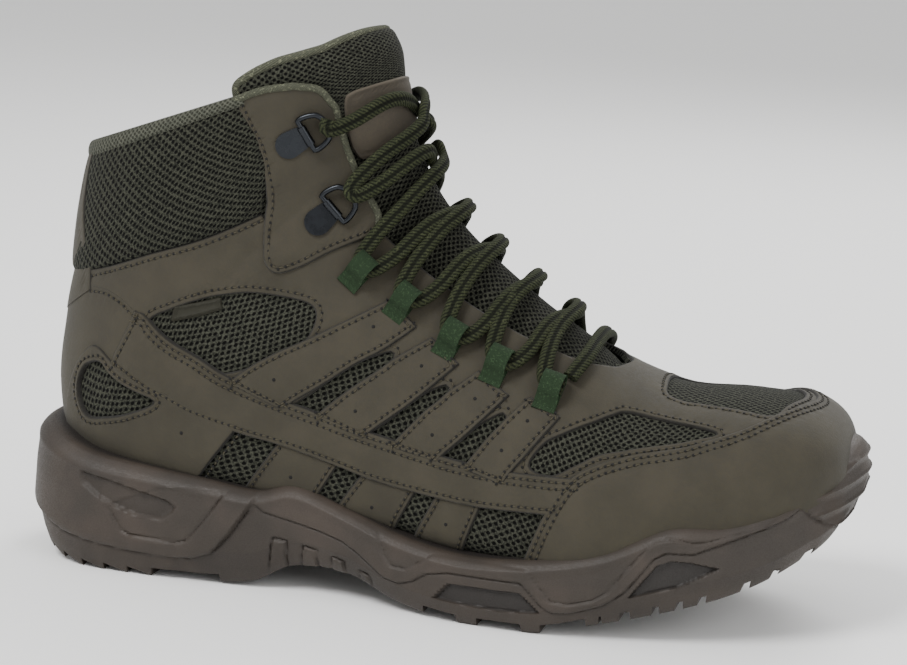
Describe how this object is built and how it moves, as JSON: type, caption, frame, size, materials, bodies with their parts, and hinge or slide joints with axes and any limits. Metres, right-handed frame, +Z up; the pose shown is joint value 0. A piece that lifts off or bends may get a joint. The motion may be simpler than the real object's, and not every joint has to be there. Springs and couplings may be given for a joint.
{
  "type": "tactical boot",
  "caption": "Mid-height laced tactical boot, right foot: nubuck-like overlays on mesh, webbing loops and D-rings, lugged rubber sole",
  "frame": {"origin": "middle of the boot's footprint box, on the floor", "axes": "+X towards the toe, -Y towards the outer side of the foot, +Z up"},
  "size_m": [0.305, 0.109, 0.1987],
  "materials": {
    "rubber": "matte",
    "mesh": "matte",
    "leather": "matte",
    "lining": "matte",
    "lace": "matte",
    "webbing": "matte",
    "metal": "gloss"
  },
  "bodies": {
    "root": {"outsole": "rubber", "upper": "mesh", "insole": "lining", "tongue": "mesh", "collar_cuff": "mesh", "eyestay_inner": "leather", "eyestay_outer": "leather", "heel_counter": "leather", "lace": "lace", "lace_loop_1_inner": "webbing", "lace_loop_1_outer": "webbing", "lace_loop_2_inner": "webbing", "lace_loop_2_outer": "webbing", "lace_loop_3_inner": "webbing", "lace_loop_3_outer": "webbing", "lace_loop_4_inner": "webbing", "lace_loop_4_outer": "webbing", "lace_loop_5_inner": "webbing", "lace_loop_5_outer": "webbing", "lace_ring_1_inner": "metal", "lace_ring_1_outer": "metal", "lace_ring_2_inner": "metal", "lace_ring_2_outer": "metal", "quarter_inner": "leather", "quarter_outer": "leather", "side_band_inner": "leather", "side_band_outer": "leather", "side_tab_back_inner": "leather", "side_tab_back_outer": "leather", "side_tab_front_inner": "leather", "side_tab_front_outer": "leather", "side_tab_middle_inner": "leather", "side_tab_middle_outer": "leather", "toe_cap": "leather", "tongue_patch": "mesh", "vamp": "leather"}
  },
  "joints": []
}
